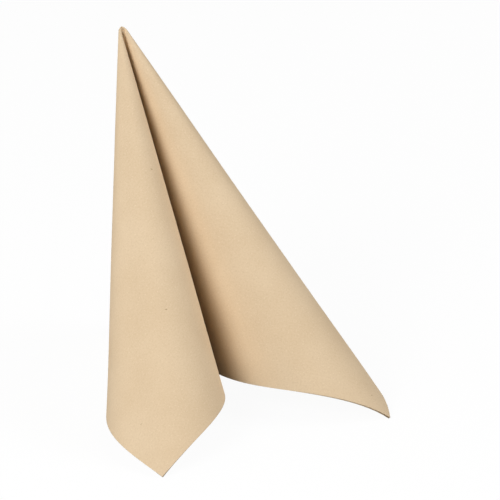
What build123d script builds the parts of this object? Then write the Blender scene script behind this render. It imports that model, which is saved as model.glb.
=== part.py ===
"""A square paper napkin, folded once into a double leaf and stood up as a two-lobed cone.

The sheet's own centre is the apex. The sheet is folded in half through that centre, which makes the top
fold, and creased at right angles to it, which makes the valley crease. From the valley crease each half
runs forward to a corner of the sheet, turns there in a soft bend, and comes back outside itself to the
top fold, so each half is a hollow lobe that stands on its corner. Paper bends but doesn't stretch: every
wall is a cone of straight lines from the apex, and each line is as long as it is on the flat sheet.

Frame: +Z up, X across both lobes, the lobes point to -Y. The origin is the centre of the footprint,
on the surface that the napkin stands on. Millimetres and degrees.
"""

from build123d import *
import math
import os

# The paper
SHEET_SIDE = 400.0  # the napkin opened out flat, a square
PAPER_THICKNESS = 0.35  # one leaf
LEAF_GAP = 0.5  # air between the two leaves of the folded sheet

# How it is set up
CREASE_LEAN = 9.2  # the valley crease leans forward from upright, going down
CREASE_HEADING = 76.0  # where a lobe leaves the valley crease, turned forward from +X

# How sharply a lobe bends, at each angle round the apex from the valley crease: the turn of the wall, in
# degrees, for each degree of sheet. It changes evenly from each angle to the next, as in a clothoid.
BENDS = {0.0: -1.6, 15.0: -0.5, 30.0: 4.7, 45.0: 8.0, 60.0: 2.5, 75.0: -2.0, 90.0: -2.0}

# The apex, where all the leaves are pinched together
PINCH_LENGTH = 14.0  # below the apex, where the folded wall starts to thin towards its tip
TIP_LENGTH = 2.0  # below the true apex, where the pinched paper ends
GAP_LENGTH = 30.0  # below the apex, where the two leaves part

MARCH_STEP = 0.5  # the sheet angle of one step along a lobe
STATION_STEP = 5.0  # the sheet angle between the lines that a wall is drawn through
CORNER_ANGLE = 45.0  # the sheet angle from the valley crease to a corner
FOLD_ANGLE = 90.0  # the sheet angle from the valley crease to the top fold
CUT_OVERLAP = 2.0  # the cutter for the gap runs past the sheet's edge by this

HALF_SIDE = SHEET_SIDE / 2
HALF_GAP = LEAF_GAP / 2
HALF_WALL = HALF_GAP + PAPER_THICKNESS


def bend_at(angle):
    """The wall's bend at a sheet angle, between the two nearest stated ones."""
    stated = sorted(BENDS)
    for low, high in zip(stated, stated[1:]):
        if angle <= high:
            share = (angle - low) / (high - low)
            return BENDS[low] + share * (BENDS[high] - BENDS[low])
    return BENDS[stated[-1]]


def march():
    """The right lobe's stations: (sheet angle, way down the wall, way along it, way out of it).

    Each step carries the frame along the sheet by one small angle, and twists it by the bend there.
    """
    lean, heading = math.radians(CREASE_LEAN), math.radians(CREASE_HEADING)
    forward = Vector(0, -math.cos(lean), math.sin(lean))
    down = Vector(0, -math.sin(lean), -math.cos(lean))
    along = Vector(1, 0, 0) * math.cos(heading) + forward * math.sin(heading)
    every = round(STATION_STEP / MARCH_STEP)
    stations = [(0.0, down, along, down.cross(along))]
    for step in range(round(FOLD_ANGLE / MARCH_STEP)):
        bend = bend_at((step + 0.5) * MARCH_STEP)
        turn = Axis((0, 0, 0), down.cross(along) - down * bend)
        angle = MARCH_STEP * math.hypot(1, bend)
        down, along = down.rotate(turn, angle), along.rotate(turn, angle)
        if (step + 1) % every == 0:
            stations.append(((step + 1) * MARCH_STEP, down, along, down.cross(along)))
    return stations


def edge_length(angle):
    """From the apex to the edge of the flat sheet, at a sheet angle."""
    turn = math.radians(angle)
    return HALF_SIDE / max(math.cos(turn), math.sin(turn))


def wall_curve(stations, length_of, offset):
    """The curve through the wall's lines at their lengths from the apex, moved out of the wall by offset."""
    points = [down * length_of(angle) + out * offset for angle, down, _, out in stations]
    return Edge.make_spline(points, parameters=[station[0] for station in stations])


def end_curve(station, length_of, radius, side):
    """The half circle round a wall's last line: side is 1 past the top fold and -1 past the crease."""
    angle, down, along, out = station
    centre = down * length_of(angle)
    middle = centre + along * (radius * side)
    return Edge.make_three_point_arc(centre + out * radius, middle, centre - out * radius)


def section(stations, length_of, half_thickness):
    """The closed outline of a lobe's wall where its lines have the lengths that length_of gives."""
    corner = [station[0] for station in stations].index(CORNER_ANGLE)
    spans = (stations[: corner + 1], stations[corner:])
    outer = [wall_curve(span, length_of, half_thickness) for span in spans]
    inner = [wall_curve(span, length_of, -half_thickness) for span in spans]
    fold = end_curve(stations[-1], length_of, half_thickness, 1)
    crease = end_curve(stations[0], length_of, half_thickness, -1)
    return [*outer, fold, *inner, crease]


def wall_band(upper, lower):
    """The ruled faces between two sections of the same wall."""
    return [Face.make_surface_from_curves(a, b) for a, b in zip(upper, lower)]


def lid(edges):
    """The ruled face that closes a section: the wall's outer curves joined to its inner ones."""
    outer, fold, inner, crease = edges[:2], edges[2], edges[3:5], edges[5]
    across = [Face.make_surface_from_curves(a, b) for a, b in zip(outer, inner)]
    ends = [Face(Wire([e, Edge.make_line(e @ 0, e @ 1)])) for e in (fold, crease)]
    return across + ends


def closed_wall(sections):
    """The solid between the first section and the last, through all the others."""
    faces = lid(sections[0]) + lid(sections[-1])
    for upper, lower in zip(sections, sections[1:]):
        faces += wall_band(upper, lower)
    shell = Shell(Face.sew_faces(faces)[0])
    return Solid(shell)


def lobe(stations):
    """One lobe: the folded sheet's double wall, thinned to the pinched apex."""
    return closed_wall(
        [
            section(stations, lambda angle: TIP_LENGTH, HALF_WALL * TIP_LENGTH / PINCH_LENGTH),
            section(stations, lambda angle: PINCH_LENGTH, HALF_WALL),
            section(stations, edge_length, HALF_WALL),
        ]
    )


def gap(stations):
    """The air between a lobe's two leaves, which is open along the sheet's edge."""
    return closed_wall(
        [
            section(stations, lambda angle: GAP_LENGTH, HALF_GAP),
            section(stations, lambda angle: edge_length(angle) + CUT_OVERLAP, HALF_GAP),
        ]
    )


def half_napkin(stations):
    """The right half: one lobe with the air taken out from between its leaves, cut off at the mid-plane."""
    leaves = lobe(stations) - gap(stations)
    return leaves.split(Plane.YZ, keep=Keep.TOP)


right = half_napkin(march())
sheet = right + right.mirror(Plane.YZ)
extents = sheet.bounding_box()
napkin = Pos(-extents.center().X, -extents.center().Y, -extents.min.Z) * sheet

os.makedirs("parts", exist_ok=True)
export_step(napkin, "parts/napkin.step")
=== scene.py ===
# %% [markdown]
# # A paper napkin, folded and stood on its two corners
#
# This lesson makes one sheet of soft kraft paper and folds it the way a hand does at the table.
# The sheet is 400 mm square. Its centre becomes the tip at the top, and two of its corners become feet.
# All lengths are in metres, and the CAD frame that is loaded first says where the napkin stands.

# %% Load the frame
import bmesh
import bpy
import math
from mathutils import Matrix, Vector


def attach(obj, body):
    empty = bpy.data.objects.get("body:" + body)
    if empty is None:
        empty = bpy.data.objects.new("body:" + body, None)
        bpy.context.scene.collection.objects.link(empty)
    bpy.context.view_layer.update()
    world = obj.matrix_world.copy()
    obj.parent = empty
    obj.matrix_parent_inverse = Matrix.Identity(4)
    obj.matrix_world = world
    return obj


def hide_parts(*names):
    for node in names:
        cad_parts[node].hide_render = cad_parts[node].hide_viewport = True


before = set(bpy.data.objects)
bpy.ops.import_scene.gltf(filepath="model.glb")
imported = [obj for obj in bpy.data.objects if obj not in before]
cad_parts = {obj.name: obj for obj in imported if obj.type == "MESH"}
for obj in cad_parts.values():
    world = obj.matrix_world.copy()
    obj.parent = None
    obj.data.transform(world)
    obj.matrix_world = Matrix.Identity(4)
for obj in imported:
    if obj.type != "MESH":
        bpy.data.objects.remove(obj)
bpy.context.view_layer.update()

MM = 0.001

# %% [markdown]
# ## The walls of the fold
#
# Paper bends but hardly stretches, so every wall of this fold is a cone: straight lines, called rulings,
# run from the tip to the sheet's edge. One way to make it is to model a lobe by eye with curves. But an
# eye stretches paper. So the wall is rolled out here from its own bends instead: a small frame of three
# directions starts at the valley crease, and each step turns it by half a degree of sheet and bends it.
# The same way to bend is in the CAD part, so both have the same walls.

# %% The bends of one lobe, and the rulings that follow from them
CREASE_LEAN = math.radians(9.2)
CREASE_HEADING = math.radians(76.0)
BENDS = {0: -1.6, 15: -0.5, 30: 4.7, 45: 8.0, 60: 2.5, 75: -2.0, 90: -2.0}
STEP = 0.5
CORNER_ANGLE, FOLD_ANGLE = 45, 90  # the sheet angles of a quarter's corner and of its top fold
FORWARD = Vector((0, -math.cos(CREASE_LEAN), math.sin(CREASE_LEAN)))  # square to the valley crease


def bend_at(angle):
    """The turn of the wall for each degree of sheet, at a sheet angle in degrees."""
    stated = sorted(BENDS)
    for low, high in zip(stated, stated[1:]):
        if angle <= high:
            share = (angle - low) / (high - low)
            return BENDS[low] + share * (BENDS[high] - BENDS[low])
    return BENDS[stated[-1]]


def roll_out():
    """The right lobe's rulings: down the wall, along it and out of it, each STEP of sheet."""
    down = Vector((0, -math.sin(CREASE_LEAN), -math.cos(CREASE_LEAN)))
    along = Vector((1, 0, 0)) * math.cos(CREASE_HEADING) + FORWARD * math.sin(CREASE_HEADING)
    rulings = [(down, along, down.cross(along))]
    for count in range(round(FOLD_ANGLE / STEP)):
        bend = bend_at((count + 0.5) * STEP)
        turn = down.cross(along) - down * bend
        spin = Matrix.Rotation(math.radians(STEP) * turn.length, 3, turn.normalized())
        down, along = spin @ down, spin @ along
        rulings.append((down.copy(), along.copy(), down.cross(along)))
    return rulings


RULINGS = roll_out()
print(len(RULINGS), "rulings, the last one points to", RULINGS[-1][0])

# %% [markdown]
# ## The sheet
#
# A napkin for this fold is doubled first: the sheet is folded in half through its own centre, so every
# wall is two leaves. At the top folds the paper turns back on itself in a half circle that is less than a
# millimetre across, and at the valley crease it is pressed into a sharp V.
#
# It could be cut from two surfaces laid one inside the other, but real paper runs round the folds without
# a seam. So one flat grid becomes the whole sheet: its columns fan out from the sheet's centre, as the
# rulings do, and its rows run round it. Extra columns sit where a fold needs them.

# %% The paper's own sizes
HALF_SIDE = 200 * MM
PAPER = 0.35 * MM
LEAF_OFFSET = 0.42 * MM  # from the middle of the folded sheet to the middle of one leaf
TIP_OFFSET = 0.20 * MM  # the same at the tip, where the leaves are pinched together
PINCH = 60 * MM  # the leaves come apart over this length below the tip
FAN_STEP = 0.75  # the sheet angle between two columns
BACK_COLUMNS = 4  # columns round one quarter of a fold
ROWS = 56
ROW_SPREAD = 1.4  # above 1, rows crowd towards the tip


def edge_length(angle):
    """From the sheet's centre to its edge, at a sheet angle in degrees from a fold."""
    turn = math.radians(angle)
    return HALF_SIDE / max(math.cos(turn), math.sin(turn))


def ruling_at(angle):
    """The wall's three directions at any sheet angle, between the two nearest rulings."""
    place = min(angle / STEP, len(RULINGS) - 1.001)
    low = int(place)
    down, along, out = (a.lerp(b, place - low) for a, b in zip(RULINGS[low], RULINGS[low + 1]))
    return down.normalized(), along.normalized(), out.normalized()


# %% All columns in order, once round the sheet
ROLL_OF_LEAF = {"front": 90, "back": -90}  # a leaf's place round a fold, in degrees


def quarter(side, leaf):
    """One quarter's columns from the valley crease to the top fold: side, sheet angle, roll round a fold."""
    roll = ROLL_OF_LEAF[leaf]
    walls = [(side, FAN_STEP * i, roll) for i in range(round(FOLD_ANGLE / FAN_STEP) + 1)]
    return walls + [(side, FOLD_ANGLE, roll * (1 - i / BACK_COLUMNS)) for i in range(1, BACK_COLUMNS)]


def spine(side):
    """The columns behind the valley crease, from a lobe's inner leaf to the middle."""
    return [(side, 0, -90 * (1 - i / BACK_COLUMNS)) for i in range(1, BACK_COLUMNS)]


COLUMNS = (
    quarter(1, "front")
    + [(1, FOLD_ANGLE, 0)]
    + quarter(1, "back")[::-1]
    + spine(1)
    + [(1, 0, 0)]
    + spine(-1)[::-1]
    + quarter(-1, "back")
    + [(-1, FOLD_ANGLE, 0)]
    + quarter(-1, "front")[::-1]
)
HEM_ROWS = [1.2 * MM, 0.35 * MM, 0]  # rows this far from the sheet's edge keep the edge crisp
SHARES = [(i / ROWS) ** ROW_SPREAD for i in range(ROWS)]
print(len(COLUMNS), "columns,", len(SHARES) + len(HEM_ROWS), "rows")

# %% [markdown]
# A doubled sheet that a hand has shaped is never a perfect cone. Its walls swell and sink by a few tenths
# of a millimetre, more towards the free edge. A cloth simulation could do this, but it would also let the
# fold sag away from the CAD part. A few slow waves pushed straight out of the wall are enough, and both
# leaves take the same wave, so that they never cross.
#
# Eight layers of paper meet at the tip, and real paper can't meet there in one point. The two lobes push
# each other apart by a millimetre or so, and the tip ends blunt. The crease between them stays put.

# %% Where each point of the flat sheet goes
SPLAY_TOP, SPLAY_FOOT = 1.5 * MM, 0.15 * MM
SPLAY_RAMP = 10  # the sheet angle over which a wall leaves the valley crease for its splayed place
CALM = 20  # the sheet angle beside a crease or fold over which the swells die away
BLUNT = 1.6 * MM  # the tip is blunt down to here
WAVES = [(0.34 * MM, 3.1, 0.6, 9), (0.22 * MM, 6.3, 2.1, -14), (0.13 * MM, 11.7, 4.4, 23)]


def swell(side, angle, length):
    """How far the wall stands out of its cone: (height, waves round the wall, phase, waves down it)."""
    turn = math.radians(angle)
    free = math.sin(math.radians(min(angle, FOLD_ANGLE - angle, CALM) / CALM * 90))
    total = sum(
        high * math.sin(around * turn + phase * side + down * length / HALF_SIDE * 0.4)
        for high, around, phase, down in WAVES
    )
    return total * free * (length / HALF_SIDE) ** 1.5


def splay(angle, length):
    """How far a lobe stands out from the middle: so many leaves can't meet in one point at the tip."""
    share = min(angle / SPLAY_RAMP, 1)
    eased = share * share * (3 - 2 * share)
    return eased * min(length / BLUNT, 1) * (SPLAY_TOP - (SPLAY_TOP - SPLAY_FOOT) * length / HALF_SIDE)


def leaf_offset(length):
    """How far one leaf's middle is from the middle of the folded sheet."""
    return TIP_OFFSET + (LEAF_OFFSET - TIP_OFFSET) * min(length / PINCH, 1)


def folded(side, angle, roll, length):
    """A point of the sheet once it is folded, with the tip at the origin."""
    down, along, out = ruling_at(angle)
    offset = leaf_offset(length)
    end = along if angle > CORNER_ANGLE else -FORWARD
    turn = math.radians(roll)
    point = down * length + out * (math.sin(turn) * offset + swell(side, angle, length))
    point += end * (math.cos(turn) * offset)
    point.x += splay(angle, length)
    if angle == 0 and roll == 90:
        point = down * length + FORWARD * offset
    if angle == 0 and roll in (0, 90):
        point.x = 0
    elif angle < CORNER_ANGLE:
        point.x = max(point.x, PAPER * 0.6 if roll > 0 else point.x)
    return Vector((side * point.x, point.y, point.z))


def flat(side, angle, roll, length):
    """The same point before the napkin was folded, measured from the sheet's centre."""
    turn = math.radians(angle)
    across, away = length * math.sin(turn), length * math.cos(turn)
    rim = leaf_offset(length) * math.radians(roll) if angle == FOLD_ANGLE else math.copysign(away, roll)
    return side * across, -rim


def lengths(angle):
    """How far down a ruling each row is."""
    edge = edge_length(angle)
    top = edge - HEM_ROWS[0] * 2
    return [share * top for share in SHARES] + [edge - hem for hem in HEM_ROWS]


# %% The grid becomes the folded sheet
HALF_GRID = 0.5
SEAM = 0.02 * MM  # points of the sheet nearer than this are one point
columns, rows = len(COLUMNS) - 1, len(SHARES) + len(HEM_ROWS) - 1
sheet_mesh = bmesh.new()
bmesh.ops.create_grid(sheet_mesh, x_segments=columns, y_segments=rows, size=HALF_GRID)
flat_map = sheet_mesh.loops.layers.uv.new("flat sheet")
lengths_of = {angle: lengths(angle) for angle in {column[1] for column in COLUMNS}}
for vert in sheet_mesh.verts:
    column = round((vert.co.x + HALF_GRID) * columns)
    row = round((vert.co.y + HALF_GRID) * rows)
    side, angle, roll = COLUMNS[column]
    length = lengths_of[angle][row]
    for loop in vert.link_loops:
        loop[flat_map].uv = flat(side, angle, roll, length)
    vert.co = folded(side, angle, roll, length)

tip = [vert for vert in sheet_mesh.verts if vert.co.length < 2 * TIP_OFFSET]
bmesh.ops.pointmerge(sheet_mesh, verts=tip, merge_co=(0, 0, 0))
bmesh.ops.remove_doubles(sheet_mesh, verts=sheet_mesh.verts, dist=SEAM)
bmesh.ops.recalc_face_normals(sheet_mesh, faces=sheet_mesh.faces)
edges_open = [edge for edge in sheet_mesh.edges if edge.is_boundary]
print(len(sheet_mesh.faces), "faces,", len(edges_open), "edges on the sheet's cut edge")

# %% [markdown]
# The paper needs a real thickness, because its cut edge shows all along the bottom. Each face could be
# extruded by hand, but the Solidify modifier grows both sides of the sheet at once and closes the rim.
# The napkin is then moved so that it stands on the floor, with its footprint's middle over the origin,
# as the CAD part does.

# %% Stand it up and give the paper its thickness
low = Vector(min(vert.co[i] for vert in sheet_mesh.verts) for i in range(3))
high = Vector(max(vert.co[i] for vert in sheet_mesh.verts) for i in range(3))
stand = Vector((0, -(low.y + high.y) / 2, -low.z + PAPER / 2))
bmesh.ops.translate(sheet_mesh, verts=sheet_mesh.verts, vec=stand)

paper_data = bpy.data.meshes.new("folded napkin")
for face in sheet_mesh.faces:
    face.smooth = True
sheet_mesh.to_mesh(paper_data)
sheet_mesh.free()
napkin = bpy.data.objects.new("folded_napkin", paper_data)
bpy.context.scene.collection.objects.link(napkin)
thickness = napkin.modifiers.new("paper thickness", "SOLIDIFY")
thickness.thickness = PAPER
thickness.offset = 0
print("the tip is at", stand, "and the sheet is", PAPER / MM, "mm thick")

# %% [markdown]
# ## The paper
#
# Unbleached napkin paper is tan, matt and soft. Its surface has a very fine grain from the felt that it
# dried on, a slow cloudiness where the fibres lie thicker, and now and then a dark fleck of bark. All of
# it belongs to the sheet, so it is drawn in the flat sheet's own measures, which the UV map keeps in
# metres, and it bends with the paper.

# %% Helpers to lay out shader nodes
paper = bpy.data.materials.new("kraft napkin paper")
paper.use_nodes = True
nodes, links = paper.node_tree.nodes, paper.node_tree.links
shader = nodes["Principled BSDF"]


def srgb(red, green, blue):
    """A colour as it is seen, from 0 to 255, turned into the linear values that a shader takes."""
    parts = [value / 255 for value in (red, green, blue)]
    linear = [v / 12.92 if v <= 0.04045 else ((v + 0.055) / 1.055) ** 2.4 for v in parts]
    return (*linear, 1)


def node(kind, **values):
    """A shader node with its settings, and its inputs by name or number."""
    made = nodes.new(kind)
    for name, value in values.items():
        setattr(made, name, value)
    return made


def wire(source, output, target, socket):
    """A link from one node's output to another's input."""
    links.new(source.outputs[output], target.inputs[socket])


def noise(scale, detail, roughness):
    """Soft noise over the flat sheet, with so many lumps to the metre."""
    made = node("ShaderNodeTexNoise")
    made.inputs["Scale"].default_value = scale
    made.inputs["Detail"].default_value = detail
    made.inputs["Roughness"].default_value = roughness
    wire(sheet_place, "UV", made, "Vector")
    return made


def ramp(source, output, low, high, low_value, high_value):
    """The source's range from low to high, spread evenly from low_value to high_value."""
    made = node("ShaderNodeMapRange")
    for name, value in zip(("From Min", "From Max", "To Min", "To Max"), (low, high, low_value, high_value)):
        made.inputs[name].default_value = value
    wire(source, output, made, "Value")
    return made


def blend_colour(factor, factor_output, low, high):
    """Between two colours, or from another mix to a colour, by a factor."""
    made = node("ShaderNodeMix", data_type="RGBA")
    wire(factor, factor_output, made, 0)
    for socket, value in ((6, low), (7, high)):
        if isinstance(value, tuple):
            made.inputs[socket].default_value = value
        else:
            wire(value, 2, made, socket)
    return made


sheet_place = node("ShaderNodeUVMap", uv_map="flat sheet")

# %% Colour: tan pulp, slow clouds, fine fibre mottle and dark flecks
PULP = srgb(214, 190, 157)
PULP_THIN = srgb(219, 196, 164)
PULP_FIBRE = srgb(198, 172, 138)
PULP_PALE = srgb(236, 217, 190)
FLECK = srgb(128, 92, 58)

clouds = noise(28, 3, 0.55)
cloudy = ramp(clouds, 0, 0.35, 0.65, 0, 1)
pulp = blend_colour(cloudy, 0, PULP, PULP_THIN)
mottle = noise(900, 2, 0.6)
mottled = ramp(mottle, 0, 0.45, 0.8, 0, 0.45)
fibrous = blend_colour(mottled, 0, pulp, PULP_FIBRE)
pale_spots = noise(1150, 1, 0.5)
pale = ramp(pale_spots, 0, 0.6, 0.75, 0, 0.4)
speckled = blend_colour(pale, 0, fibrous, PULP_PALE)

fleck_cells = node("ShaderNodeTexVoronoi")
fleck_cells.inputs["Scale"].default_value = 95
fleck_warp = noise(420, 1, 0.5)
fleck_place = node("ShaderNodeMix", data_type="VECTOR")
fleck_place.inputs[0].default_value = 0.003
wire(sheet_place, "UV", fleck_place, 4)
wire(fleck_warp, 1, fleck_place, 5)
wire(fleck_place, 1, fleck_cells, "Vector")
fleck_spot = ramp(fleck_cells, "Distance", 0.025, 0.055, 1, 0)
fleck_pick = node("ShaderNodeSeparateColor")
wire(fleck_cells, "Color", fleck_pick, 0)
fleck_some = ramp(fleck_pick, 0, 0.55, 0.6, 0, 0.55)
fleck_mask = node("ShaderNodeMath", operation="MULTIPLY")
wire(fleck_spot, 0, fleck_mask, 0)
wire(fleck_some, 0, fleck_mask, 1)
flecked = blend_colour(fleck_mask, 0, speckled, FLECK)
wire(flecked, 2, shader, "Base Color")
print("pulp colour", [round(value, 3) for value in PULP])

# %% [markdown]
# The grain is only a few hundredths of a millimetre high, much too fine to model, so it is a bump. Two
# sizes of noise are added: the felt's grain, under a millimetre across, and a slower crumple.

# %% Grain and finish
grain = noise(1300, 2, 0.6)
crumple = noise(160, 2, 0.5)
height = node("ShaderNodeMath", operation="MULTIPLY_ADD")
height.inputs[1].default_value = 2.5
wire(crumple, 0, height, 0)
wire(grain, 0, height, 2)
bump = node("ShaderNodeBump")
bump.inputs["Strength"].default_value = 0.5
bump.inputs["Distance"].default_value = 0.06 * MM
wire(height, 0, bump, "Height")
wire(bump, 0, shader, "Normal")
shader.inputs["Roughness"].default_value = 0.92
shader.inputs["Specular IOR Level"].default_value = 0.15
paper_data.materials.append(paper)
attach(napkin, "root")
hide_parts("napkin")
print("the material has", len(nodes), "nodes")

# %% [markdown]
# ## The setting
#
# The napkin stands in a plain pale studio. The floor and the world show white, but they light the paper
# only as a soft pale room would. A Light Path node tells the two apart: the rays that show the background
# meet white, and the rays that carry light meet a plain matt floor and a dim room. The white floor could be
# all glow, but then the napkin would float. So a small share of it is matt, and keeps the soft shadow.

# %% Floor and world
floor_mesh = bmesh.new()
bmesh.ops.create_grid(floor_mesh, x_segments=1, y_segments=1, size=6)
floor_data = bpy.data.meshes.new("floor")
floor_mesh.to_mesh(floor_data)
floor_mesh.free()
floor = bpy.data.objects.new("floor", floor_data)
bpy.context.scene.collection.objects.link(floor)


def clear_ray():
    """1 for a ray that shows the background: seen straight on, mirrored, or through something clear."""
    rays = node("ShaderNodeLightPath")
    any_ray = rays.outputs["Is Camera Ray"]
    for name in ("Is Glossy Ray", "Is Transmission Ray"):
        either = node("ShaderNodeMath", operation="MAXIMUM")
        links.new(any_ray, either.inputs[0])
        links.new(rays.outputs[name], either.inputs[1])
        any_ray = either.outputs[0]
    return any_ray


FLOOR_GLOW = 0.95  # the share of the white floor that glows and takes no shadow
floor_paint = bpy.data.materials.new("pale floor")
floor_paint.use_nodes = True
nodes, links = floor_paint.node_tree.nodes, floor_paint.node_tree.links
nodes.clear()
floor_matt = node("ShaderNodeBsdfDiffuse")
floor_matt.inputs[0].default_value = (0.4, 0.4, 0.4, 1)
floor_shadowed = node("ShaderNodeBsdfDiffuse")
floor_shadowed.inputs[0].default_value = (1, 1, 1, 1)
floor_white = node("ShaderNodeEmission")
floor_shown = node("ShaderNodeMixShader")
floor_shown.inputs[0].default_value = FLOOR_GLOW
floor_mix = node("ShaderNodeMixShader")
floor_out = node("ShaderNodeOutputMaterial")
wire(floor_shadowed, 0, floor_shown, 1)
wire(floor_white, 0, floor_shown, 2)
links.new(clear_ray(), floor_mix.inputs[0])
wire(floor_matt, 0, floor_mix, 1)
wire(floor_shown, 0, floor_mix, 2)
wire(floor_mix, 0, floor_out, 0)
floor_data.materials.append(floor_paint)

world = bpy.data.worlds.new("pale room")
bpy.context.scene.world = world
world.use_nodes = True
nodes, links = world.node_tree.nodes, world.node_tree.links
nodes.clear()
ROOM = 0.12
room = node("ShaderNodeBackground")
room.inputs[1].default_value = ROOM
white = node("ShaderNodeBackground")
white.inputs[1].default_value = 1
for made in (room, white):
    made.inputs[0].default_value = (1, 1, 1, 1)
sky_mix = node("ShaderNodeMixShader")
sky_out = node("ShaderNodeOutputWorld")
links.new(clear_ray(), sky_mix.inputs[0])
wire(room, 0, sky_mix, 1)
wire(white, 0, sky_mix, 2)
wire(sky_mix, 0, sky_out, 0)
print("the room's own light is", ROOM)

# %% [markdown]
# Three soft boxes light the napkin. The key stands in front, to the left, and lights the left lobe and the
# inner wall of the right one. A weak one further round the left side lifts the left lobe's outer edge. A
# broad fill on the right keeps the right lobe's outer wall from going grey.

# %% Lamps
MIDDLE = Vector((0, 0, 0.09))


def lamp(name, azimuth, elevation, distance, size, power):
    """A square soft box that faces the napkin: azimuth 0 stands in front of it, at -Y, and 90 at +X."""
    turn, lift = math.radians(azimuth), math.radians(elevation)
    away = Vector((math.sin(turn) * math.cos(lift), -math.cos(turn) * math.cos(lift), math.sin(lift)))
    data = bpy.data.lights.new(name, "AREA")
    data.size, data.energy = size, power
    made = bpy.data.objects.new(name, data)
    made.location = MIDDLE + away * distance
    made.rotation_mode = "QUATERNION"
    made.rotation_quaternion = away.to_track_quat("Z", "Y")
    bpy.context.scene.collection.objects.link(made)
    print(name, "at", [round(value, 2) for value in made.location], "gives", power, "W")


lamp("key soft box", azimuth=-66, elevation=30, distance=1.8, size=1.0, power=28)
lamp("side soft box", azimuth=-120, elevation=20, distance=1.8, size=1.0, power=6)
lamp("fill soft box", azimuth=55, elevation=30, distance=2.0, size=1.2, power=27)

# %% [markdown]
# ## The camera
#
# A long lens from well back keeps the upright lines nearly parallel. The tip sits near the upper left of
# the picture, so the camera looks past the tip, to the right of it and below.

# %% Camera
CAMERA_AZIMUTH, CAMERA_ELEVATION = math.radians(-29.9), math.radians(24.5)
CAMERA_DISTANCE = 3.0
LENS, FAR_CLIP = 362.9, 50
RIGHT_OF_TIP, BELOW_TIP = 0.0765, 0.1330
back = Vector(
    (
        math.sin(CAMERA_AZIMUTH) * math.cos(CAMERA_ELEVATION),
        -math.cos(CAMERA_AZIMUTH) * math.cos(CAMERA_ELEVATION),
        math.sin(CAMERA_ELEVATION),
    )
)
right = Vector((math.cos(CAMERA_AZIMUTH), math.sin(CAMERA_AZIMUTH), 0))
up = back.cross(right)
camera_data = bpy.data.cameras.new("camera")
camera_data.lens, camera_data.clip_end = LENS, FAR_CLIP
camera = bpy.data.objects.new("camera", camera_data)
camera.location = stand + right * RIGHT_OF_TIP - up * BELOW_TIP + back * CAMERA_DISTANCE
camera.rotation_mode = "QUATERNION"
camera.rotation_quaternion = back.to_track_quat("Z", "Y")
bpy.context.scene.collection.objects.link(camera)
bpy.context.scene.camera = camera
bpy.context.scene.view_settings.view_transform = "Standard"
